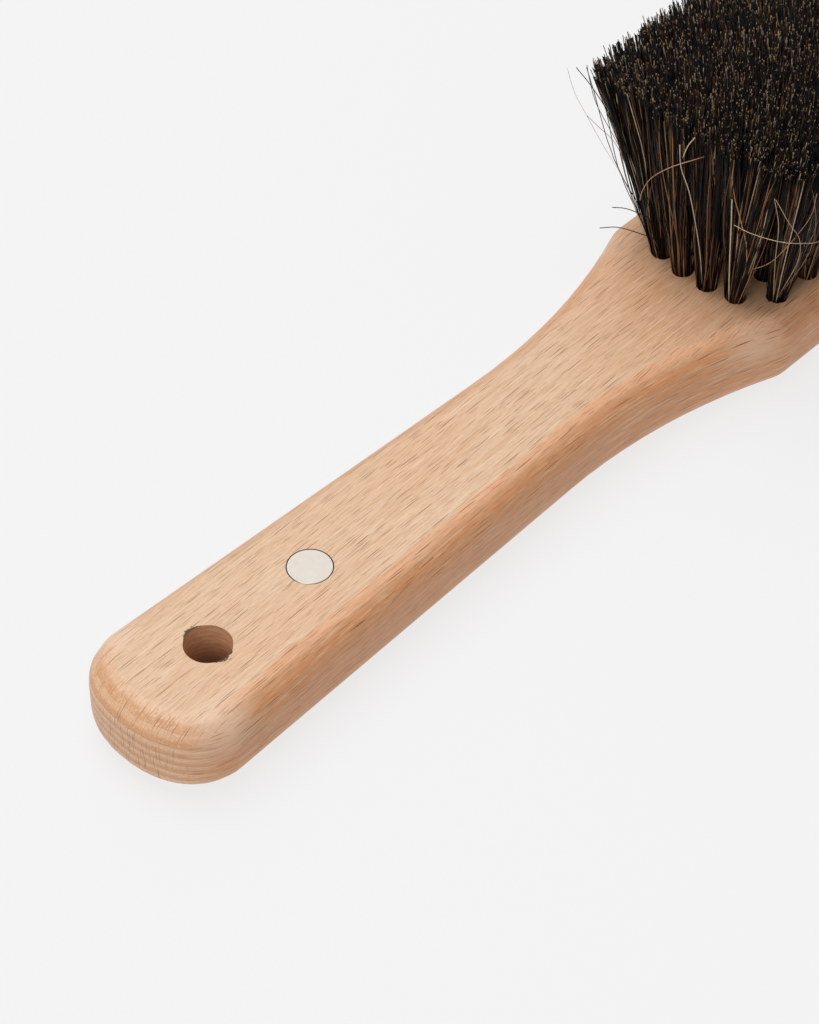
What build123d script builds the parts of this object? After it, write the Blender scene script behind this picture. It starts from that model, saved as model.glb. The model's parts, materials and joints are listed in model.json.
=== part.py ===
from build123d import *

import math
import os

os.makedirs("parts", exist_ok=True)

# Clothes brush. +X runs from the handle to the head, +Z is up out of the bristles.
# The origin is under the middle of the whole brush, on the flat back. Millimetres.

# Wooden body: one piece of beech
overall_length = 265.0
thickness = 15.0
edge_radius = 5.4
end_to_hole = 19.1
hole_diameter = 8.0
handle_end_start = 12.0
handle_end_half_width = 14.97
handle_end_power = 2.22
waist_from_hole = 77.9
waist_half_width = 12.1
flare_radius = 114.0
head_half_width = 20.2
shoulder_radius = 6.5
head_end_depth = 22.0
head_end_power = 2.6

# Disc let into the handle, flush with the bristle side
disc_from_hole = 22.9
disc_diameter = 7.6
disc_height = 3.0
disc_chamfer = 0.08
pocket_diameter = 7.8

# Drilled field for the tufts: four columns of sixteen and an outer pair of fourteen
row_count = 16
pair_count = 14
field_from_hole = 118.3
field_length = 120.0
field_shift = -0.5
column_inset = (0.0, 1.1, 6.2)
column_offset = (2.8, 8.4, 13.4)
tuft_hole_diameter = 3.8
tuft_hole_depth = 9.5

# Tufts: folded over a flat anchor at the bottom, cut level at the top
bristle_height = 36.0
top_spread_x = 1.025
top_pitch_y = 7.9
tuft_gap = 0.1
tuft_foot = 2.4
tuft_corner = 0.29
foot_clearance = 0.1
anchor_width = 3.3
anchor_thickness = 0.4
anchor_height = 1.6

# Places along X
end_x = -overall_length / 2
head_end_x = overall_length / 2
hole_x = end_x + end_to_hole
disc_x = hole_x + disc_from_hole
waist_x = hole_x + waist_from_hole
field_start_x = hole_x + field_from_hole
field_middle_x = field_start_x + field_length / 2
tip_z = thickness + bristle_height

# The handle tapers straight into the flare, which meets the head side at the shoulder
flare_y = waist_half_width + flare_radius
taper_start_x = end_x + handle_end_start
taper_dx = waist_x - taper_start_x
taper_dy = flare_y - handle_end_half_width
taper_reach = math.hypot(taper_dx, taper_dy)
taper_angle = math.atan2(taper_dx, taper_dy) - math.acos(flare_radius / taper_reach)
taper_end = (
    waist_x - flare_radius * math.sin(taper_angle),
    flare_y - flare_radius * math.cos(taper_angle),
)
shoulder_rise = flare_y - head_half_width
shoulder_x = waist_x + math.sqrt(flare_radius**2 - shoulder_rise**2)
taper_direction = (math.cos(taper_angle), -math.sin(taper_angle))


def rounded_end(depth, half_width, power, count):
    """Points from the tip of a rounded end, at x = 0, back to its full width."""
    points = []
    for step in range(count + 1):
        turn = math.pi / 2 * step / count
        x = depth * (1 - math.cos(turn) ** (2 / power))
        y = half_width * math.sin(turn) ** (2 / power)
        points.append((x, y))
    return points


handle_end = rounded_end(handle_end_start, handle_end_half_width, handle_end_power, 8)
head_end = rounded_end(head_end_depth, head_half_width, head_end_power, 8)

# Each column of tufts: its side, its place across and how many it holds
columns = []
for side in (1, -1):
    for index in range(3):
        count = pair_count if index == 2 else row_count
        columns.append((side, index, count))


def tuft_axis(side, index, count, step):
    """Rim centre and tip centre of one tuft, and the length of its tip cell along X."""
    inset = column_inset[index]
    pitch = (field_length - 2 * inset) / (count - 1)
    x = field_start_x + inset + step * pitch
    rim = Vector(x, side * column_offset[index] + field_shift, thickness)
    tip_x = field_middle_x + (x - field_middle_x) * top_spread_x
    tip = Vector(tip_x, side * (index + 0.5) * top_pitch_y, tip_z)
    return rim, tip, pitch * top_spread_x


def hole_plane(rim, tip, rise):
    """Plane square to a tuft's axis, this far along it from the rim."""
    axis = (tip - rim).normalized()
    return Plane(origin=rim + axis * rise, x_dir=(1, 0, -axis.X / axis.Z), z_dir=axis)


tufts = []
for side, index, count in columns:
    for step in range(count):
        tufts.append(tuft_axis(side, index, count, step))

# Handle and head in one block: flat back, rounded all round, drilled for the tufts
with BuildPart() as body:
    with BuildSketch(Plane.XY) as body_outline:
        with BuildLine() as outline:
            Spline(
                *[(end_x + x, y) for x, y in handle_end],
                tangents=[(0, 1), taper_direction],
            )
            Line((taper_start_x, handle_end_half_width), taper_end)
            RadiusArc(taper_end, (shoulder_x, head_half_width), -flare_radius)
            Line(
                (shoulder_x, head_half_width),
                (head_end_x - head_end_depth, head_half_width),
            )
            Spline(
                *[(head_end_x - x, y) for x, y in reversed(head_end)],
                tangents=[(1, 0), (0, -1)],
            )
            mirror(about=Plane.XZ)
        make_face()
        shoulders = [v for v in body_outline.vertices() if abs(v.X - shoulder_x) < 0.01]
        fillet(shoulders, radius=shoulder_radius)
    extrude(amount=thickness)
    rims = body.faces().filter_by(Axis.Z).edges()
    fillet(rims, radius=edge_radius)
    with Locations((hole_x, 0, thickness)):
        Hole(radius=hole_diameter / 2, depth=thickness)
    with Locations((disc_x, 0, thickness)):
        Hole(radius=pocket_diameter / 2, depth=disc_height)
    with Locations(*[hole_plane(rim, tip, 1.0) for rim, tip, cell in tufts]):
        Hole(radius=tuft_hole_diameter / 2, depth=tuft_hole_depth + 1.0)
body.part.label = "brush_body"
export_step(body.part, "parts/brush_body.step")

# Nickel plated disc magnet, glued on the floor of its pocket
with BuildPart() as disc:
    with BuildSketch(Plane.XY.offset(thickness - disc_height)):
        with Locations((disc_x, 0)):
            Circle(radius=disc_diameter / 2)
    extrude(amount=disc_height)
    chamfer(disc.edges().filter_by(GeomType.CIRCLE), length=disc_chamfer)
disc.part.label = "disc_magnet"
export_step(disc.part, "parts/disc_magnet.step")

# Flat wire anchors, one standing on the bottom of each tuft hole
with BuildPart() as anchors:
    for rim, tip, cell in tufts:
        with BuildSketch(hole_plane(rim, tip, -tuft_hole_depth)):
            Rectangle(anchor_width, anchor_thickness)
        extrude(amount=anchor_height)
anchors.part.label = "tuft_anchors"
export_step(anchors.part, "parts/tuft_anchors.step")


def tuft_sections(rim, tip, cell):
    """The two ends of one tuft: its foot over the anchor and its cell at the cut tips."""
    axis = (tip - rim).normalized()
    base = rim + axis * (anchor_height - tuft_hole_depth)
    with BuildSketch(Plane.XY.offset(base.Z + foot_clearance)) as foot:
        with Locations((base.X, base.Y)):
            Rectangle(tuft_foot, tuft_foot)
        chamfer(foot.vertices(), length=tuft_foot * tuft_corner)
    with BuildSketch(Plane.XY.offset(tip_z)) as cut:
        with Locations((tip.X, tip.Y)):
            Rectangle(cell - 2 * tuft_gap, top_pitch_y - 2 * tuft_gap)
        chamfer(cut.vertices(), length=(top_pitch_y - 2 * tuft_gap) * tuft_corner)
    return [foot.sketch.face(), cut.sketch.face()]


# Inner tufts, four in each row across the head
for step in range(row_count):
    name = f"tuft_row_{step + 1:02d}"
    with BuildPart() as row:
        for side, index, count in columns:
            if index < 2:
                loft(tuft_sections(*tuft_axis(side, index, count, step)), ruled=True)
    row.part.label = name
    export_step(row.part, f"parts/{name}.step")

# Outer tufts, one on each side of the head
for step in range(pair_count):
    name = f"tuft_pair_{step + 1:02d}"
    with BuildPart() as pair:
        for side, index, count in columns:
            if index == 2:
                loft(tuft_sections(*tuft_axis(side, index, count, step)), ruled=True)
    pair.part.label = name
    export_step(pair.part, f"parts/{name}.step")
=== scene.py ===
"""Looks of the clothes brush: beech, dark horsehair and a nickel disc, on a pale studio floor.

The row frame: +X from the handle to the head, +Z up out of the bristles. Metres.
"""

import json
import math

import bpy
import numpy as np
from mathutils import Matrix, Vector


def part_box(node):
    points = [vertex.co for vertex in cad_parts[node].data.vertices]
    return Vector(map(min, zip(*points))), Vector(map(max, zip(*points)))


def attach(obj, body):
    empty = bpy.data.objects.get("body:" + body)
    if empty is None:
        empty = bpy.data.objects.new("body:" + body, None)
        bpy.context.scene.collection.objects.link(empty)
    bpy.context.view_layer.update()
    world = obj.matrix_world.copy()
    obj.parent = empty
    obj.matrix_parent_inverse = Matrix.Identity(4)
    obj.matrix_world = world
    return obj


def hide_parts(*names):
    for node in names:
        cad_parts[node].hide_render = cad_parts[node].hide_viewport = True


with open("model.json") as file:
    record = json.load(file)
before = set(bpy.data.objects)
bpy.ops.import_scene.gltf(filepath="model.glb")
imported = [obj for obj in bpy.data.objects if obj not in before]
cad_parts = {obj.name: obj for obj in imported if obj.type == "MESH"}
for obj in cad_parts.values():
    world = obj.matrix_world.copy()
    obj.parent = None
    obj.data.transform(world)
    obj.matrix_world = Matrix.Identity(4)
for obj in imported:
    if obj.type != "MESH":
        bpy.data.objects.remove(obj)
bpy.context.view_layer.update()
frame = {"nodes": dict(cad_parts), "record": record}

MM = 0.001
rng = np.random.default_rng(60)

body_low, body_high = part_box("brush_body")
disc_low, disc_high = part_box("disc_magnet")
hole = [m for m in frame["record"]["mounts"] if m["name"] == "hang_hole"][0]
hole_x, hole_y = hole["pos_m"][0], hole["pos_m"][1]
hole_r = hole["dims"]["r_mm"] * MM
top_z = body_high.z
disc_x = (disc_low.x + disc_high.x) / 2
disc_r = (disc_high.x - disc_low.x) / 2

scene = bpy.context.scene
scene.view_settings.view_transform = "Standard"


# ---------------------------------------------------------------- camera
def look_from(azimuth, elevation, distance, aim):
    """Camera at this azimuth and elevation (degrees) round aim, looking at it."""
    a, e = math.radians(azimuth), math.radians(elevation)
    back = Vector((math.sin(a) * math.cos(e), -math.cos(a) * math.cos(e), math.sin(e)))
    camera = bpy.data.objects.new("camera", bpy.data.cameras.new("camera"))
    scene.collection.objects.link(camera)
    camera.location = aim + back * distance
    camera.rotation_euler = (-back).to_track_quat("-Z", "Y").to_euler()
    return camera


aim = Vector((hole_x + 42.77 * MM, -3.29 * MM, top_z))
camera = look_from(-46.507, 46.415, 556.56 * MM, aim)
camera.data.sensor_width = 36
camera.data.lens = 119.53
camera.data.clip_start = 0.01
scene.camera = camera


# ---------------------------------------------------------------- node helpers
def new_material(name):
    """An empty node material with its Principled shader and the node tree."""
    material = bpy.data.materials.new(name)
    material.use_nodes = True
    tree = material.node_tree
    shader = tree.nodes["Principled BSDF"]
    return material, tree, shader


def put(tree, kind, inputs=None, **props):
    """One node, with its properties and its inputs set or linked."""
    made = tree.nodes.new(kind)
    for key, value in props.items():
        setattr(made, key, value)
    for key, value in (inputs or {}).items():
        if isinstance(value, bpy.types.NodeSocket):
            tree.links.new(value, made.inputs[key])
        else:
            made.inputs[key].default_value = value
    return made


def calc(tree, operation, a, b=0.0, c=0.0):
    """Output of one Math node."""
    return put(tree, "ShaderNodeMath", {0: a, 1: b, 2: c}, operation=operation).outputs[0]


def vcalc(tree, operation, a, b=(0, 0, 0)):
    """Output of one Vector Math node."""
    made = put(tree, "ShaderNodeVectorMath", {0: a, 1: b}, operation=operation)
    return made.outputs["Value" if operation in ("LENGTH", "DOT_PRODUCT") else "Vector"]


def ramp(tree, value, low, high, to_low=0.0, to_high=1.0):
    """Smooth step of value from low to high."""
    inputs = {"Value": value, "From Min": low, "From Max": high}
    inputs.update({"To Min": to_low, "To Max": to_high})
    return put(tree, "ShaderNodeMapRange", inputs, interpolation_type="SMOOTHSTEP").outputs[0]


def mix(tree, factor, a, b):
    """Colour from a to b; each may be a socket or a plain value."""
    made = put(tree, "ShaderNodeMix", data_type="RGBA", blend_type="MIX")
    for socket, value in ((0, factor), (6, a), (7, b)):
        if isinstance(value, bpy.types.NodeSocket):
            tree.links.new(value, made.inputs[socket])
        elif socket:
            made.inputs[socket].default_value = (*value, 1.0)
        else:
            made.inputs[socket].default_value = value
    return made.outputs[2]


def noise(tree, vector, stretch, detail=3.0, rough=0.5, seed=0.0):
    """Noise from 0 to 1 with this many features per millimetre along each axis."""
    scaled = vcalc(tree, "MULTIPLY", vector, stretch)
    moved = vcalc(tree, "ADD", scaled, (seed, seed * 1.7, seed * 0.6))
    inputs = {"Vector": moved, "Scale": 1.0, "Detail": detail, "Roughness": rough}
    return put(tree, "ShaderNodeTexNoise", inputs, noise_dimensions="3D").outputs[0]


def split_xyz(tree, vector):
    return put(tree, "ShaderNodeSeparateXYZ", {0: vector}).outputs


def join_xyz(tree, x, y, z):
    return put(tree, "ShaderNodeCombineXYZ", {0: x, 1: y, 2: z}).outputs[0]


def in_millimetres(tree):
    coords = put(tree, "ShaderNodeTexCoord").outputs["Object"]
    return vcalc(tree, "MULTIPLY", coords, (1 / MM,) * 3)


# ---------------------------------------------------------------- beech
# Growth layers: a pith far below the board, and one layer's thickness. All of beech() is in mm.
PITH = (0, 2.0, -135.0)
PITH_TO_TOP = 150.0
LAYER = 1.85
GRAIN_TURN = (0, math.radians(0.12), math.radians(-1.6))
SIDE_RUN = 0.08

# Places on the rounded corners where a pale sheen is painted, and how far each one reaches
SHEEN_SPOTS = (((-122.4, 12.7, 12.8), 6.5), ((0.6, 19.4, 13.5), 7.5))

# Colours that go over each other
PLAIN = ((0.700, 0.492, 0.330), (0.690, 0.452, 0.285))
# Warmer wood before the tufts, partly painted shade of the bristles
TUFT_WARMTH_AND_SHADE = (0.675, 0.342, 0.180)
UNDER_LAYER = (0.790, 0.412, 0.232)
# Painted shade on the upright sides, darker and more saturated
SIDE_SHADE_COLOUR = (0.650, 0.280, 0.114)
LAYER_WARM = (0.620, 0.318, 0.160)
LAYER_PALE = (0.80, 0.535, 0.355)
LAYER_LINE = (0.40, 0.205, 0.100)
FIBRE = (0.55, 0.295, 0.150)
PALE_FIBRE = (0.84, 0.610, 0.415)
THREAD = (0.46, 0.225, 0.100)
# Pale colour of the painted sheen on the rounded corners
PAINTED_SHEEN = (0.80, 0.575, 0.425)
PORE = (0.33, 0.145, 0.060)
SMALL_RAY = (0.230, 0.072, 0.020)
LARGE_RAY = (0.165, 0.045, 0.010)
BORED = ((0.66, 0.35, 0.185), (0.88, 0.55, 0.33))
BORED_PATCH = (0.50, 0.235, 0.105)
# Painted shade deep in the hang hole
HOLE_DEPTH_SHADE = (0.165, 0.038, 0.007)
# Painted shade in the narrow gap round the disc
DISC_GAP_SHADE = (0.14, 0.075, 0.04)
TORN_RIM = (0.075, 0.028, 0.011)


def flecks(tree, point, cell, half, seed, fewest=0.25):
    """Lens shaped marks, one per cell: cell is their spacing and half their half size, in mm."""
    scaled = vcalc(tree, "MULTIPLY", point, tuple(1 / c for c in cell))
    scaled = vcalc(tree, "ADD", scaled, (seed, seed * 2.3, seed * 1.1))
    cells = put(
        tree,
        "ShaderNodeTexVoronoi",
        {"Vector": scaled, "Scale": 1.0, "Randomness": 1.0},
        voronoi_dimensions="3D",
        feature="F1",
    )
    offset = vcalc(tree, "SUBTRACT", scaled, cells.outputs["Position"])
    offset = vcalc(tree, "MULTIPLY", offset, tuple(c / h for c, h in zip(cell, half)))
    shape = ramp(tree, vcalc(tree, "LENGTH", offset), 0.5, 1.0, 1.0, 0.0)
    split = put(tree, "ShaderNodeSeparateColor", {0: cells.outputs["Color"]})
    strength = ramp(tree, split.outputs[0], fewest - 0.2, 0.95)
    return calc(tree, "MULTIPLY", shape, strength)


def laid_on(tree, grain, sideways, drop, pattern):
    """A pattern laid on the top and the ends, and laid again on the sides.

    The smaller drop is, the further it runs straight down an end.
    """
    axes = split_xyz(tree, grain)
    on_top = vcalc(tree, "MULTIPLY", grain, (1, 1, drop))
    across = calc(tree, "MULTIPLY", axes[1], SIDE_RUN)
    on_flank = join_xyz(tree, axes[0], axes[2], across)
    top, flank = pattern(on_top), pattern(on_flank)
    return calc(tree, "MULTIPLY_ADD", calc(tree, "SUBTRACT", flank, top), sideways, top)


def around(tree, point, x, y):
    """Distance from a vertical axis, and the point measured from it, in mm."""
    local = vcalc(tree, "SUBTRACT", point, (x / MM, y / MM, 0))
    flat = vcalc(tree, "MULTIPLY", local, (1, 1, 0))
    return vcalc(tree, "LENGTH", flat), local


def wandering_grain(tree, point):
    """The point in the board's own grain, whose fibres wander a little."""
    grain = put(tree, "ShaderNodeMapping", {"Vector": point, "Rotation": GRAIN_TURN}).outputs[0]
    sway = noise(tree, grain, (0.022, 0.05, 0.05), 2.0, seed=3.0)
    sway = calc(tree, "MULTIPLY_ADD", sway, 2.0, -1.0)
    return vcalc(tree, "ADD", grain, join_xyz(tree, 0.0, sway, 0.0))


def growth_layers(tree, grain):
    """The warm part, the pale part and the dark line of each nearly flat growth layer."""
    from_pith = vcalc(tree, "MULTIPLY", vcalc(tree, "SUBTRACT", grain, PITH), (0, 1, 1))
    radius = vcalc(tree, "LENGTH", from_pith)
    wander = noise(tree, grain, (0.012, 0.11, 0.11), 3.0, seed=8.0)
    depth = calc(tree, "DIVIDE", calc(tree, "SUBTRACT", radius, PITH_TO_TOP), LAYER)
    turns = calc(tree, "ADD", depth, calc(tree, "MULTIPLY_ADD", wander, 0.9, 0.03))
    part = calc(tree, "FRACT", turns)

    def band(rise, fall):
        return calc(tree, "MULTIPLY", ramp(tree, part, *rise), ramp(tree, part, *fall, 1.0, 0.0))

    warm = band((0.0, 0.06), (0.25, 0.48))
    pale = band((0.35, 0.60), (0.86, 0.92))
    line = band((0.9, 0.985), (0.985, 1.0))
    return warm, pale, line


def facings(tree):
    """How far the surface cuts across the fibres, stands upright (where the sides get painted
    shade) and faces sideways.
    """
    normal = put(tree, "ShaderNodeNewGeometry").outputs["True Normal"]

    def along_axis(axis):
        return calc(tree, "ABSOLUTE", vcalc(tree, "DOT_PRODUCT", normal, axis))

    end_grain = ramp(tree, along_axis((1, 0, 0)), 0.2, 0.95)
    side_shade = ramp(tree, along_axis((0, 0, 1)), 0.62, 0.97, 1.0, 0.0)
    side_shade = calc(tree, "MULTIPLY", side_shade, calc(tree, "MULTIPLY_ADD", end_grain, -0.5, 0.9))
    sideways = ramp(tree, along_axis((0, 1, 0)), 0.45, 0.75)
    return end_grain, side_shade, sideways


def under_layer(tree, place, grain):
    """Where the near rounding and the end cut into the orange layer under the pale top one."""
    past_end = ramp(tree, place[0], -127.0, -119.0)
    far_side = calc(tree, "MULTIPLY", ramp(tree, place[1], 3.0, 7.0), past_end)
    fray = noise(tree, grain, (0.10, 1.6, 0.0), 3.0, seed=51.0)
    frayed = calc(tree, "MULTIPLY_ADD", fray, 0.5, place[2])
    dip = ramp(tree, frayed, top_z / MM + 0.02, top_z / MM + 0.22, 1.0, 0.0)
    dip = calc(tree, "MULTIPLY", dip, calc(tree, "MULTIPLY_ADD", far_side, -0.85, 0.85))
    return calc(tree, "MULTIPLY", dip, ramp(tree, place[0], -126.0, -116.0, 0.35, 1.0))


def painted_sheen_spots(tree, place, ragged, colour):
    """Painted sheen: pale patches on corners of the rounding, the same on both sides."""
    mirrored = join_xyz(tree, place[0], calc(tree, "ABSOLUTE", place[1]), place[2])
    for corner, reach in SHEEN_SPOTS:
        offset = vcalc(tree, "SUBTRACT", mirrored, corner)
        away = vcalc(tree, "LENGTH", vcalc(tree, "MULTIPLY", offset, (0.75, 1, 1)))
        away = calc(tree, "ADD", away, calc(tree, "MULTIPLY_ADD", ragged, 2.4, -1.2))
        colour = mix(tree, ramp(tree, away, 0.5, reach, 0.62, 0.0), colour, PAINTED_SHEEN)
    return colour


def bored_hole(tree, point, colour):
    """Bored walls with the drill's turns and painted shade deeper down, painted shade in the gap
    round the disc, and tear-outs across the grain at the rim.
    """
    far_hole, from_hole = around(tree, point, hole_x, hole_y)
    at_hole = split_xyz(tree, from_hole)
    height = at_hole[2]
    in_hole = ramp(tree, far_hole, hole_r / MM + 0.01, hole_r / MM + 0.06, 1.0, 0.0)
    chatter = noise(tree, from_hole, (0.35, 0.35, 2.2), 3.0, seed=40.0)
    turn = calc(tree, "MULTIPLY_ADD", chatter, 14.0, calc(tree, "MULTIPLY", height, 6.4))
    turn = calc(tree, "MULTIPLY_ADD", calc(tree, "SINE", turn), 0.5, 0.5)
    patchy = noise(tree, from_hole, (0.5, 0.5, 1.6), 4.0, 0.65, seed=47.0)
    turn = calc(tree, "MULTIPLY", turn, ramp(tree, patchy, 0.35, 0.60, 0.25, 1.0))
    bored = mix(tree, turn, *BORED)
    bored = mix(tree, ramp(tree, patchy, 0.40, 0.62, 0.0, 0.5), bored, BORED_PATCH)
    # Painted shade, darker deeper down the hang hole
    bored = mix(tree, ramp(tree, height, 4.5, 13.0, 0.96, 0.0), bored, HOLE_DEPTH_SHADE)
    colour = mix(tree, in_hole, colour, bored)
    # Painted shade in the narrow gap round the disc, on the wood just outside it
    far_disc = around(tree, point, disc_x, 0)[0]
    disc_gap_shade = ramp(tree, far_disc, disc_r / MM + 0.1, disc_r / MM + 0.16, 1.0, 0.0)
    colour = mix(tree, disc_gap_shade, colour, DISC_GAP_SHADE)

    ragged = noise(tree, from_hole, (0.8, 2.6, 0.5), 3.0, 0.7, seed=44.0)
    reach = calc(tree, "MULTIPLY_ADD", ragged, 2.9, -1.0)
    along = calc(tree, "ABSOLUTE", at_hole[0])
    reach = calc(tree, "MULTIPLY", reach, ramp(tree, along, 0.5, 2.4, 1.0, 0.0))
    edge = calc(tree, "SUBTRACT", far_hole, hole_r / MM)
    torn = ramp(tree, calc(tree, "SUBTRACT", edge, reach), -0.05, 0.05, 1.0, 0.0)
    aside = calc(tree, "ABSOLUTE", at_hole[1])
    torn = calc(tree, "MULTIPLY", torn, ramp(tree, aside, 3.0, 3.6))
    torn = calc(tree, "MULTIPLY", torn, ramp(tree, height, top_z / MM - 0.1, top_z / MM - 0.01))
    colour = mix(tree, calc(tree, "MULTIPLY", torn, 0.95), colour, TORN_RIM)
    return colour, in_hole, calc(tree, "MULTIPLY", turn, in_hole), torn


def beech(name):
    """Flat sawn beech: zones, growth layers, fibres, ray flecks and pores."""
    material, tree, shader = new_material(name)
    point = in_millimetres(tree)
    place = split_xyz(tree, point)
    grain = wandering_grain(tree, point)
    warm, pale_layer, line = growth_layers(tree, grain)
    end_grain, side_shade, sideways = facings(tree)

    def over(colour, amount, tint, most=1.0):
        """Tint laid over the colour, covering it by at most this much."""
        return mix(tree, calc(tree, "MULTIPLY", amount, most), colour, tint)

    def streaks(*shape):
        return laid_on(tree, grain, sideways, 1.0, lambda at: noise(tree, at, *shape))

    def dashes(*shape):
        return laid_on(tree, grain, sideways, 0.08, lambda at: flecks(tree, at, *shape))

    # Soft zones; warmer wood towards the tufts, partly painted shade of the bristles; the orange
    # layer under the top one; and painted shade, darker and more saturated, on the upright sides
    zones = noise(tree, grain, (0.014, 0.12, 0.16), 2.0, seed=12.0)
    colour = mix(tree, ramp(tree, zones, 0.38, 0.66), *PLAIN)
    # Warmer wood towards the tufts, partly painted shade of the bristles
    tuft_warmth_and_shade = ramp(tree, place[0], -32.0, 0.0, 0.0, 0.62)
    colour = over(colour, tuft_warmth_and_shade, TUFT_WARMTH_AND_SHADE)
    colour = over(colour, under_layer(tree, place, grain), UNDER_LAYER)
    # Painted shade on the upright sides
    colour = over(colour, side_shade, SIDE_SHADE_COLOUR)

    # Growth layers show most where the wood is cut across its fibres
    for amount, scale, offset, tint in (
        (warm, 0.25, 0.6, LAYER_WARM),
        (pale_layer, 0.60, 0.0, LAYER_PALE),
        (line, 0.70, 0.15, LAYER_LINE),
    ):
        shown = calc(tree, "MULTIPLY_ADD", end_grain, scale, offset)
        colour = over(colour, calc(tree, "MULTIPLY", amount, shown), tint)

    fibre = streaks((0.09, 2.3, 2.3), 4.0, 0.62, 20.0)
    colour = over(colour, ramp(tree, fibre, 0.42, 0.68, 0.0, 0.40), FIBRE)
    pale = streaks((0.12, 3.3, 3.3), 2.0, 0.6, 33.0)
    colour = over(colour, ramp(tree, pale, 0.50, 0.72, 0.0, 0.50), PALE_FIBRE)
    thread = streaks((0.30, 5.2, 5.2), 3.0, 0.7, 27.0)
    colour = over(colour, ramp(tree, thread, 0.48, 0.70, 0.0, 0.50), THREAD)
    # Painted sheen on the rounded corners
    colour = painted_sheen_spots(tree, place, thread, colour)

    # Ray flecks and pores: spacing, half size, seed and how few there are
    large = dashes((6.2, 0.80, 0.42), (3.0, 0.070, 0.20), 4.0, 0.45)
    small = dashes((4.0, 0.40, 0.32), (1.9, 0.048, 0.15), 31.0, 0.25)
    pores = dashes((1.5, 0.28, 0.3), (0.65, 0.042, 0.06), 57.0, 0.15)
    colour = over(colour, pores, PORE, 0.50)
    colour = over(colour, small, SMALL_RAY, 0.95)
    colour = over(colour, large, LARGE_RAY, 0.98)
    colour, in_hole, rings, torn = bored_hole(tree, point, colour)
    tree.links.new(colour, shader.inputs["Base Color"])

    rough = calc(tree, "MULTIPLY_ADD", fibre, 0.16, 0.36)
    rough = calc(tree, "MULTIPLY_ADD", large, 0.12, rough)
    rough = calc(tree, "MULTIPLY_ADD", calc(tree, "MAXIMUM", in_hole, torn), 0.4, rough)
    tree.links.new(rough, shader.inputs["Roughness"])
    shader.inputs["Specular IOR Level"].default_value = 0.45
    relief = calc(tree, "MULTIPLY", fibre, 0.5)
    for marks, rise in ((thread, 0.25), (large, -0.6), (torn, -3.0), (rings, 1.2)):
        relief = calc(tree, "MULTIPLY_ADD", marks, rise, relief)
    bump = put(tree, "ShaderNodeBump", {"Strength": 0.5, "Distance": 0.04 * MM, "Height": relief})
    tree.links.new(bump.outputs[0], shader.inputs["Normal"])
    return material


# ---------------------------------------------------------------- metal
def plated(name, colour, rough, streak):
    """Dull plated metal with fine rub marks and faint cloudiness."""
    material, tree, shader = new_material(name)
    point = in_millimetres(tree)
    cloud = noise(tree, point, (0.5, 0.5, 0.5), 4.0, 0.6, seed=2.0)
    rubs = noise(tree, point, streak, 3.0, 0.6, seed=9.0)
    tint = mix(tree, ramp(tree, cloud, 0.35, 0.7), colour, tuple(c * 0.95 for c in colour))
    tint = mix(tree, ramp(tree, rubs, 0.45, 0.8, 0.0, 0.3), tint, tuple(c * 0.88 for c in colour))
    tree.links.new(tint, shader.inputs["Base Color"])
    rubbed = calc(tree, "MULTIPLY_ADD", rubs, 0.16, rough - 0.08)
    tree.links.new(rubbed, shader.inputs["Roughness"])
    shader.inputs["Metallic"].default_value = 1.0
    bump = put(tree, "ShaderNodeBump", {"Strength": 0.25, "Distance": 0.01 * MM, "Height": rubs})
    tree.links.new(bump.outputs[0], shader.inputs["Normal"])
    return material


# ---------------------------------------------------------------- horsehair
def horsehair(name):
    """Hair coloured by strand: tone in red, place along it in green, its own chance in blue."""
    material, tree, shader = new_material(name)
    strand = put(tree, "ShaderNodeAttribute", attribute_name="strand")
    parts = put(tree, "ShaderNodeSeparateColor", {0: strand.outputs["Color"]})
    tone, along, own = parts.outputs[0], parts.outputs[1], parts.outputs[2]
    stops = put(tree, "ShaderNodeValToRGB", {0: tone})
    band = stops.color_ramp
    band.elements[0].position, band.elements[0].color = 0.0, (0.0045, 0.0036, 0.0038, 1)
    band.elements[1].position, band.elements[1].color = 1.0, (0.72, 0.58, 0.40, 1)
    for position, colour in (
        (0.45, (0.0080, 0.0052, 0.0048)),
        (0.70, (0.026, 0.0150, 0.0100)),
        (0.80, (0.140, 0.074, 0.040)),
        (0.87, (0.290, 0.140, 0.066)),
        (0.93, (0.470, 0.255, 0.125)),
        (0.97, (0.62, 0.47, 0.31)),
    ):
        stop = band.elements.new(position)
        stop.color = (*colour, 1)
    point = in_millimetres(tree)
    mottle = noise(tree, point, (1.4, 1.4, 0.12), 3.0, 0.6, seed=5.0)
    dusty = ramp(tree, mottle, 0.4, 0.85, 0.0, 0.4)
    colour = mix(tree, dusty, stops.outputs[0], (0.016, 0.010, 0.008))

    # Painted shade darkens each hair towards its tip, pale hairs less so, and a painted highlight
    # lightens a few cut ends
    tip_shade_ramp = ramp(tree, along, 0.88, 0.985)
    by_tone = ramp(tree, tone, 0.84, 0.98, 0.92, 0.55)
    tip_shade = calc(tree, "MULTIPLY", tip_shade_ramp, by_tone)
    colour = mix(tree, tip_shade, colour, (0.0028, 0.0020, 0.0022))
    # Painted highlight on a few cut ends
    cut_end_highlight = calc(tree, "MULTIPLY", ramp(tree, along, 0.99, 1.0), ramp(tree, own, 0.82, 0.98))
    end_highlight_tint = mix(tree, ramp(tree, mottle, 0.40, 0.60), (0.28, 0.22, 0.165), (0.42, 0.24, 0.10))
    colour = mix(tree, calc(tree, "MULTIPLY", cut_end_highlight, 0.9), colour, end_highlight_tint)
    tree.links.new(colour, shader.inputs["Base Color"])
    gloss = calc(tree, "MULTIPLY_ADD", mottle, 0.25, 0.28)
    tree.links.new(gloss, shader.inputs["Roughness"])
    shader.inputs["Specular IOR Level"].default_value = 0.13
    return material


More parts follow.
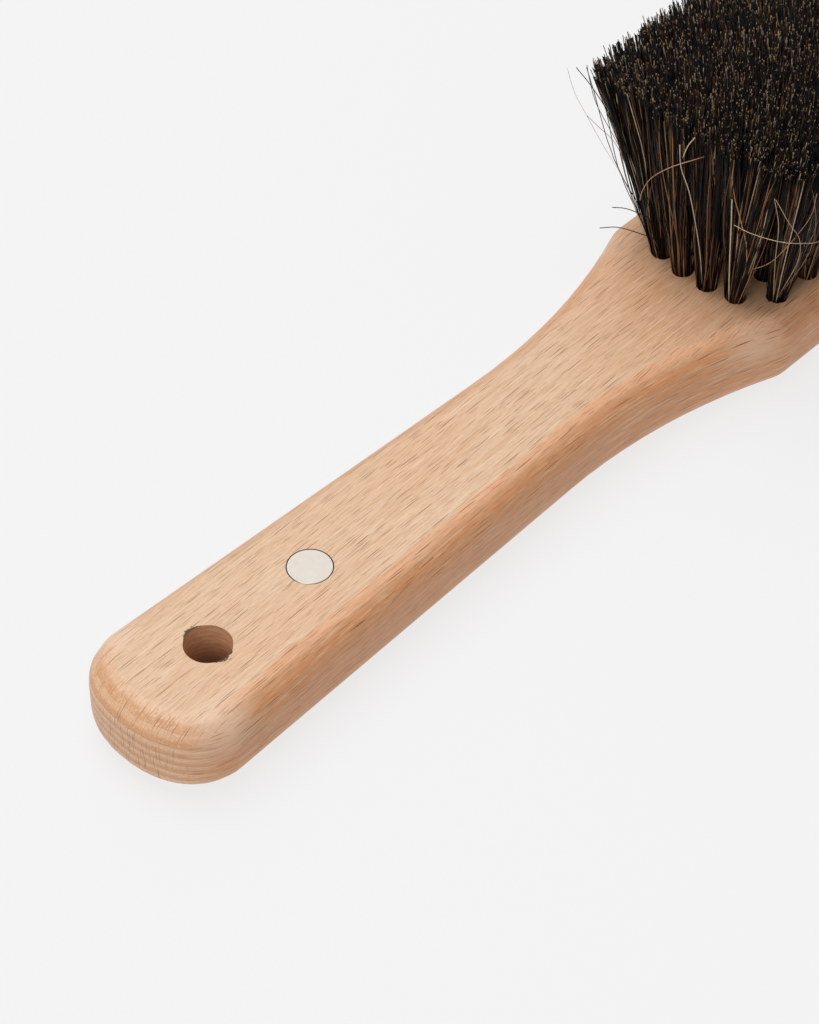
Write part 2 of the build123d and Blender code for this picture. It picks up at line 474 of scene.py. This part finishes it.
# ---------------------------------------------------------------- strands
def strand_mesh(name, paths, radii, tones, owns, sides=3):
    """One mesh of many thin closed strands. paths is (strand, point, 3) in metres."""
    count, points, _ = paths.shape
    spin = rng.uniform(0, 2 * math.pi, count)
    turn = spin[:, None] + np.arange(sides) * 2 * math.pi / sides
    run = np.gradient(paths, axis=1)
    run /= np.linalg.norm(run, axis=2, keepdims=True)
    lean = np.where(np.abs(run[..., 2:3]) < 0.8, [[[0.0, 0.0, 1.0]]], [[[1.0, 0.0, 0.0]]])
    first = np.cross(run, lean)
    first /= np.linalg.norm(first, axis=2, keepdims=True)
    second = np.cross(run, first)
    ring = (
        np.cos(turn)[:, None, :, None] * first[:, :, None, :]
        + np.sin(turn)[:, None, :, None] * second[:, :, None, :]
    )
    verts = paths[:, :, None, :] + ring * radii[:, :, None, None]
    base = np.arange(count)[:, None, None] * points * sides
    level = np.arange(points - 1)[None, :, None] * sides
    step = np.arange(sides)[None, None, :]
    after = (step + 1) % sides
    quads = np.stack(
        [
            base + level + step,
            base + level + after,
            base + level + sides + after,
            base + level + sides + step,
        ],
        axis=-1,
    ).reshape(-1, 4)
    ends = np.arange(count)[:, None] * points * sides + np.arange(sides)
    caps = np.concatenate([ends[:, ::-1], ends + (points - 1) * sides])
    corners = np.concatenate([quads.ravel(), caps.ravel()])
    totals = np.concatenate([np.full(len(quads), 4), np.full(len(caps), sides)])
    starts = np.concatenate([[0], np.cumsum(totals)[:-1]])
    mesh = bpy.data.meshes.new(name)
    mesh.vertices.add(count * points * sides)
    mesh.vertices.foreach_set("co", verts.astype(np.float32).ravel())
    mesh.loops.add(len(corners))
    mesh.loops.foreach_set("vertex_index", corners.astype(np.int32))
    mesh.polygons.add(len(totals))
    mesh.polygons.foreach_set("loop_start", starts.astype(np.int32))
    mesh.polygons.foreach_set("loop_total", totals.astype(np.int32))
    smooth = np.concatenate([np.ones(len(quads), bool), np.zeros(len(caps), bool)])
    mesh.polygons.foreach_set("use_smooth", smooth)
    mesh.update(calc_edges=True)
    strand = np.ones((count, points, sides, 4), np.float32)
    strand[..., 0] = tones[:, None, None]
    strand[..., 1] = np.linspace(0, 1, points)[None, :, None]
    strand[..., 2] = owns[:, None, None]
    attribute = mesh.attributes.new("strand", "FLOAT_COLOR", "POINT")
    attribute.data.foreach_set("color", strand.ravel())
    made = bpy.data.objects.new(name, mesh)
    scene.collection.objects.link(made)
    return made


# Share of the hairs that are brown, copper and pale, each inside the one before, and their tones
LIGHT_HAIRS = ((0.25, 0.76, 0.90), (0.085, 0.88, 0.95), (0.036, 0.96, 1.0))


def hair_tones(count):
    """Mostly near black, some brown and copper, a few pale."""
    tones = rng.beta(1.1, 1.8, count) * 0.74
    pick = rng.random(count)
    for share, low, high in LIGHT_HAIRS:
        tones = np.where(pick < share, rng.uniform(low, high, count), tones)
    return tones


# Every tuft of the CAD: where it leaves the wood, which way it points and its tip cell
rows = sorted(n for n in frame["nodes"] if n.startswith("tuft_row_"))
pairs = sorted(n for n in frame["nodes"] if n.startswith("tuft_pair_"))


def tufts_of(node, count):
    """Rim centre, axis and tip centre of each tuft in a CAD node, in order of y."""
    co = np.array([v.co for v in frame["nodes"][node].data.vertices], float)
    feet = co[co[:, 2] < co[:, 2].min() + 0.3 * MM]
    tips = co[co[:, 2] > co[:, 2].max() - 0.05 * MM]
    wide = tips[:, 1].max() - tips[:, 1].min()
    cells = ((tips[:, 1] - tips[:, 1].min()) / wide * count * 0.9999).astype(int)
    feet = feet[np.argsort(feet[:, 1])]
    gaps = np.sort(np.argsort(np.diff(feet[:, 1]))[len(feet) - count :]) + 1
    found = []
    for index, foot in enumerate(np.split(feet, gaps)):
        tip = tips[cells == index]
        foot = (foot.min(0) + foot.max(0)) / 2
        tip = (tip.min(0) + tip.max(0)) / 2
        axis = (tip - foot) / (tip[2] - foot[2])
        found.append((foot + axis * (top_z - foot[2]), axis, tip))
    return found


tufts = [(node, *tuft) for node in rows for tuft in tufts_of(node, 4)]
tufts += [(node, *tuft) for node in pairs for tuft in tufts_of(node, 2)]
rim_centres = np.array([t[1] for t in tufts])
axes = np.array([t[2] for t in tufts])
tip_centres = np.array([t[3] for t in tufts])
tip_z = tip_centres[0, 2]

# Outline of the cut tips: sides, ends and corner roundings taken from the photo
END_REACH = 3.9 * MM
SIDE_REACH = 4.5 * MM
front_x = tip_centres[:, 0].min() - END_REACH
back_x = tip_centres[:, 0].max() + END_REACH
side_y = tip_centres[:, 1].max() + SIDE_REACH
CORNERS = {(-1, 1): 5.0 * MM, (-1, -1): 10.0 * MM, (1, 1): 7.0 * MM, (1, -1): 8.0 * MM}


def inside(points):
    """Depth of each point inside the tip outline, negative outside."""
    middle = np.array([(front_x + back_x) / 2, 0])
    half = np.array([(back_x - front_x) / 2, side_y])
    local = points - middle
    signs = np.where(local < 0, -1, 1)
    round_r = np.array([CORNERS[tuple(s)] for s in signs])
    beyond = np.abs(local) - half + round_r[:, None]
    outer = np.linalg.norm(np.maximum(beyond, 0), axis=1)
    return round_r - outer - np.minimum(beyond.max(axis=1), 0)


HAIR_GAP = 0.405 * MM
ROOT_R = 1.74 * MM
ROOT_DEPTH = 1.8 * MM
LOCKS = 20


def scatter_tips():
    """Even, slightly ragged hair tips over the whole cut face."""
    xs = np.arange(front_x - 1.5 * MM, back_x + 1.5 * MM, HAIR_GAP)
    ys = np.arange(-side_y - 1.5 * MM, side_y + 1.5 * MM, HAIR_GAP * 0.866)
    x, y = np.meshgrid(xs, ys)
    x += (np.arange(len(ys)) % 2)[:, None] * HAIR_GAP / 2
    points = np.stack([x.ravel(), y.ravel()], axis=1)
    points += rng.normal(0, 0.30 * HAIR_GAP, points.shape)
    return points[inside(points) > rng.normal(0, 0.22 * MM, len(points))]


tips = scatter_tips()
nearest = np.empty(len(tips), int)
for start in range(0, len(tips), 4096):
    gap = tips[start : start + 4096, None] - tip_centres[None, :, :2]
    nearest[start : start + 4096] = np.linalg.norm(gap, axis=2).argmin(axis=1)


def tuft_hairs(index, points):
    """Centrelines of one tuft's hairs, tight at the hole and spreading to their tips."""
    mine = tips[nearest == index]
    hairs = len(mine)
    low, high = mine.min(axis=0), mine.max(axis=0)
    unit = (mine - (low + high) / 2) / (high - low) * 2
    long = np.linalg.norm(unit, axis=1, keepdims=True)
    disc = unit / np.maximum(long, 1e-6) * np.abs(unit).max(axis=1, keepdims=True)
    disc = disc * 0.96 + rng.normal(0, 0.07, disc.shape)
    disc /= np.maximum(np.linalg.norm(disc, axis=1, keepdims=True), 1.0)

    # Tips draw together into small locks, more so at the edge of the field
    depth = inside(mine)
    rim = np.clip(1 - depth / (2.2 * MM), 0, 1)[:, None]
    locks = rng.uniform(low, high, (LOCKS, 2))
    closest = np.linalg.norm(mine[:, None] - locks[None], axis=2).argmin(axis=1)
    pull = rng.uniform(0.05, 0.30, (hairs, 1)) + rim * rng.uniform(0.1, 0.5, (hairs, 1))
    ends = mine + (locks[closest] - mine) * pull
    ends += rng.normal(0, 0.10 * MM, ends.shape)
    wild = rng.random(hairs) < 0.035 + 0.05 * rim[:, 0]
    ends[wild] += rng.normal(0, 1.3 * MM, (wild.sum(), 2))

    # A level cut, a little ragged, with some hairs cut short and some left long
    height = np.full(hairs, tip_z) + rng.normal(0, 0.07 * MM, hairs)
    height += rng.normal(0, 0.09 * MM, LOCKS)[closest]
    height += rim[:, 0] * rng.normal(0, 0.40 * MM, hairs)
    lone = rng.random(hairs)
    height = np.where(lone < 0.05, height - rng.uniform(0.3, 4.0, hairs) * MM, height)
    height = np.where(lone > 0.975, height + rng.uniform(0.2, 1.1, hairs) * MM, height)

    # From the hole to the tip, spreading as they rise, with a slow bow
    root = rim_centres[index] - axes[index] * ROOT_DEPTH
    s = np.linspace(0, 1, points)[None, :, None]
    start = root[:2] + disc * ROOT_R
    spread = s ** rng.uniform(1.0, 1.22, (hairs, 1, 1))
    lateral = start[:, None] + (ends - start)[:, None] * spread
    phase = rng.uniform(0, 2 * math.pi, (hairs, 1, 2))
    waves = rng.uniform(0.4, 1.3, (hairs, 1, 2))
    size = rng.gamma(1.5, 0.17, (hairs, 1, 2)) * MM
    size[wild] *= rng.uniform(1.5, 4.0, (wild.sum(), 1, 2))
    bow = np.sin(phase + waves * s * 2 * math.pi) - np.sin(phase) * (1 - s)
    bow -= np.sin(phase + waves * 2 * math.pi) * s
    lateral = lateral + bow * size
    z = root[2] + (height[:, None] - root[2]) * s[..., 0]
    return np.concatenate([lateral, z[..., None]], axis=2)


def hair_piece(name, node, points):
    """All tufts of one CAD node as one piece of hair."""
    lines = [tuft_hairs(i, points) for i, tuft in enumerate(tufts) if tuft[0] == node]
    paths = np.concatenate(lines)
    hairs = len(paths)
    tones = hair_tones(hairs)
    thick = rng.uniform(0.080, 0.112, hairs) + (tones > 0.75) * 0.015
    radii = thick[:, None] * MM * np.linspace(1.0, 0.88, points)[None]
    made = strand_mesh(name, paths, radii, tones, rng.random(hairs))
    made.data.materials.append(hair_material)
    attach(made, "root")
    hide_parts(node)


# ---------------------------------------------------------------- build
beech_material = beech("beech")
disc_material = plated("nickel", (0.585, 0.54, 0.48), 0.36, (1.6, 0.5, 0.5))
wire_material = plated("wire", (0.60, 0.58, 0.55), 0.35, (3.0, 0.5, 3.0))
hair_material = horsehair("horsehair")

for node, material, slot in (
    ("brush_body", beech_material, "beech"),
    ("disc_magnet", disc_material, "nickel"),
    ("tuft_anchors", wire_material, "wire"),
):
    part = frame["nodes"][node]
    part.data.materials.clear()
    part.data.materials.append(material)

for node in rows + pairs:
    on_edge = node in pairs or node in rows[:2] + rows[-2:]
    hair_piece(node.replace("tuft", "hair"), node, 9 if on_edge else 6)


# Single hairs that have escaped: tone, radius in mm and points in mm from the hang hole's
# centre on the bristle side
ESCAPED = (
    # Across the front, from the foot up
    (0.94, 0.080, (
        (113.0, 8.6, 15.8), (112.7, 7.9, 18.7), (112.3, 5.8, 23.0), (111.7, 1.2, 28.5),
        (111.0, -5.9, 35.3),
    )),
    # Two dark ones at the lower left
    (0.60, 0.085, (
        (114.2, 15.6, 9.2), (114.0, 12.0, 11.1), (114.4, 7.5, 11.6),
    )),
    (0.60, 0.085, (
        (115.0, 18.8, 1.9), (114.7, 14.0, 5.1), (115.0, 7.4, 6.8),
    )),
    # Four that stand off on the left
    (0.60, 0.080, (
        (112.6, 23.9, 36.7), (112.6, 20.1, 34.4), (112.6, 15.4, 30.1), (112.6, 12.2, 24.6),
        (112.6, 9.2, 18.0),
    )),
    (0.78, 0.065, (
        (112.6, 21.6, 38.5), (112.6, 20.7, 35.4), (112.6, 19.0, 31.4), (112.6, 15.2, 27.1),
        (112.6, 12.5, 24.1),
    )),
    (0.96, 0.040, (
        (112.4, 25.7, 35.6), (112.4, 23.8, 31.3), (112.4, 20.9, 28.0), (112.4, 16.9, 23.6),
        (112.4, 13.5, 20.5), (112.4, 10.4, 16.9),
    )),
    (0.80, 0.045, (
        (112.4, 20.9, 28.0), (112.4, 18.3, 27.1), (112.4, 14.4, 25.7), (112.4, 11.5, 22.0),
    )),
    # Pale ones in front
    (0.985, 0.095, (
        (111.2, -3.5, 37.9), (111.5, -2.0, 35.1), (111.9, -0.8, 31.6),
    )),
    (0.985, 0.085, (
        (111.6, -0.2, 34.2), (112.2, -0.4, 28.9), (112.7, -2.3, 23.7), (114.4, -3.9, 11.7),
        (116.8, -3.4, 1.0),
    )),
    (0.985, 0.105, (
        (112.2, -11.5, 28.5), (113.0, -11.3, 21.2), (113.8, -11.0, 13.4),
        (116.8, -9.4, 0.8),
    )),
    (0.965, 0.065, (
        (111.7, -12.8, 24.0), (111.6, -16.7, 24.5), (112.6, -21.8, 25.2),
        (116.6, -23.3, 23.2), (123.3, -22.9, 19.4), (131.0, -22.0, 19.5),
    )),
    (0.955, 0.055, (
        (112.0, -20.6, 34.0), (114.6, -21.9, 28.0), (118.2, -21.8, 22.0),
        (120.0, -20.6, 15.0), (122.4, -15.6, 2.0),
    )),
    (0.955, 0.055, (
        (112.6, -19.8, 33.5), (112.9, -21.0, 28.0), (113.8, -20.4, 20.0),
        (118.6, -17.2, 10.0), (122.6, -14.6, 1.0),
    )),
    (0.92, 0.060, (
        (118.8, -23.8, 33.0), (118.4, -23.0, 27.0), (113.8, -20.2, 19.5),
        (112.8, -16.0, 15.0),
    )),
)


def smooth_path(knots, points):
    """Catmull-Rom curve through the knots."""
    knots = np.array(knots, float)
    knots = np.vstack([2 * knots[0] - knots[1], knots, 2 * knots[-1] - knots[-2]])
    places = np.linspace(0, len(knots) - 3 - 1e-9, points)
    i = places.astype(int)
    t = (places - i)[:, None]
    a, b, c, d = knots[i], knots[i + 1], knots[i + 2], knots[i + 3]
    return 0.5 * (
        2 * b + (c - a) * t + (2 * a - 5 * b + 4 * c - d) * t**2 + (3 * b - a - 3 * c + d) * t**3
    )


STRAY_POINTS = 28
escaped = np.stack([smooth_path(knots, STRAY_POINTS) for _, _, knots in ESCAPED]) * MM
escaped += np.array([hole_x, 0, top_z])
strays = strand_mesh(
    "stray_hairs",
    escaped,
    np.array([[size] * STRAY_POINTS for _, size, _ in ESCAPED]) * MM,
    np.array([tone for tone, _, _ in ESCAPED]),
    np.full(len(ESCAPED), 0.2),
    sides=5,
)
strays.data.materials.append(hair_material)
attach(strays, "root")


FIBRES_PER_HOLE = 12


def rim_fibres():
    """Torn wood fibres round the rims of the tuft holes."""
    paths, radii = [], []
    for rim in rim_centres:
        for _ in range(FIBRES_PER_HOLE):
            angle = rng.uniform(0, 2 * math.pi)
            out = np.array([math.cos(angle), math.sin(angle), 0])
            side = np.array([-out[1], out[0], 0])
            start = rim + out * rng.uniform(1.86, 1.98) * MM - np.array([0, 0, 0.06 * MM])
            length = rng.uniform(0.25, 0.75) * MM
            lean = out * rng.uniform(-0.2, 0.5) + side * rng.uniform(-0.7, 0.7)
            end = start + (lean + np.array([0, 0, rng.uniform(0.25, 0.8)])) * length
            bend = (start + end) / 2 + out * 0.1 * length
            paths.append([start, bend, end])
            radii.append(np.array([0.075, 0.055, 0.02]) * MM * rng.uniform(0.7, 1.3))
    count = len(paths)
    return strand_mesh(
        "rim_fibres", np.array(paths), np.array(radii), np.full(count, 0.5), rng.random(count)
    )


def pale_fibre(name):
    """Bare wood fibre, dry and pale."""
    material, tree, shader = new_material(name)
    point = in_millimetres(tree)
    patchy = noise(tree, point, (2.0, 2.0, 2.0), 2.0, seed=6.0)
    colour = mix(tree, patchy, (0.80, 0.62, 0.45), (0.58, 0.34, 0.18))
    tree.links.new(colour, shader.inputs["Base Color"])
    tree.links.new(calc(tree, "MULTIPLY_ADD", patchy, 0.2, 0.6), shader.inputs["Roughness"])
    return material


fibres = rim_fibres()
fibres.data.materials.append(pale_fibre("torn_fibre"))
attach(fibres, "root")


# ---------------------------------------------------------------- studio
def floor_material():
    """Nearly even pale grey that also glows a little, so it stays light all over."""
    material, tree, shader = new_material("floor")
    coords = put(tree, "ShaderNodeTexCoord").outputs["Object"]
    drift = noise(tree, coords, (3.0, 3.0, 3.0), 2.0)
    colour = mix(tree, drift, (0.118, 0.118, 0.118), (0.122, 0.122, 0.122))
    tree.links.new(colour, shader.inputs["Base Color"])
    shader.inputs["Roughness"].default_value = 1.0
    shader.inputs["Specular IOR Level"].default_value = 0.0
    shader.inputs["Emission Color"].default_value = (1, 1, 1, 1)
    shader.inputs["Emission Strength"].default_value = 0.765
    return material


bpy.ops.mesh.primitive_circle_add(vertices=96, radius=2.5, fill_type="NGON")
floor = bpy.context.object
floor.name = "floor"
floor.location.z = body_low.z - 0.1 * MM
floor.data.materials.append(floor_material())

world = bpy.data.worlds.new("studio")
scene.world = world
world.use_nodes = True
background = world.node_tree.nodes["Background"]
background.inputs["Color"].default_value = (1.0, 1.0, 1.0, 1.0)
background.inputs["Strength"].default_value = 0.22


def softbox(name, place, size, power, target=(0, 0, 0.02)):
    """Square area light at this place, turned to the brush."""
    lamp = bpy.data.lights.new(name, "AREA")
    lamp.shape = "SQUARE"
    lamp.size = size
    lamp.energy = power
    made = bpy.data.objects.new(name, lamp)
    scene.collection.objects.link(made)
    made.location = place
    aim_at = Vector(target) - made.location
    made.rotation_euler = aim_at.to_track_quat("-Z", "Y").to_euler()


softbox("back", (0.62, 0.72, 1.02), 1.25, 4.2)
softbox("top", (-0.10, 0.50, 1.30), 1.0, 9.4)
softbox("above", (-0.08, -0.12, 1.15), 0.5, 3.2)
softbox("front", (-1.0, -0.25, 0.8), 0.9, 4.8)
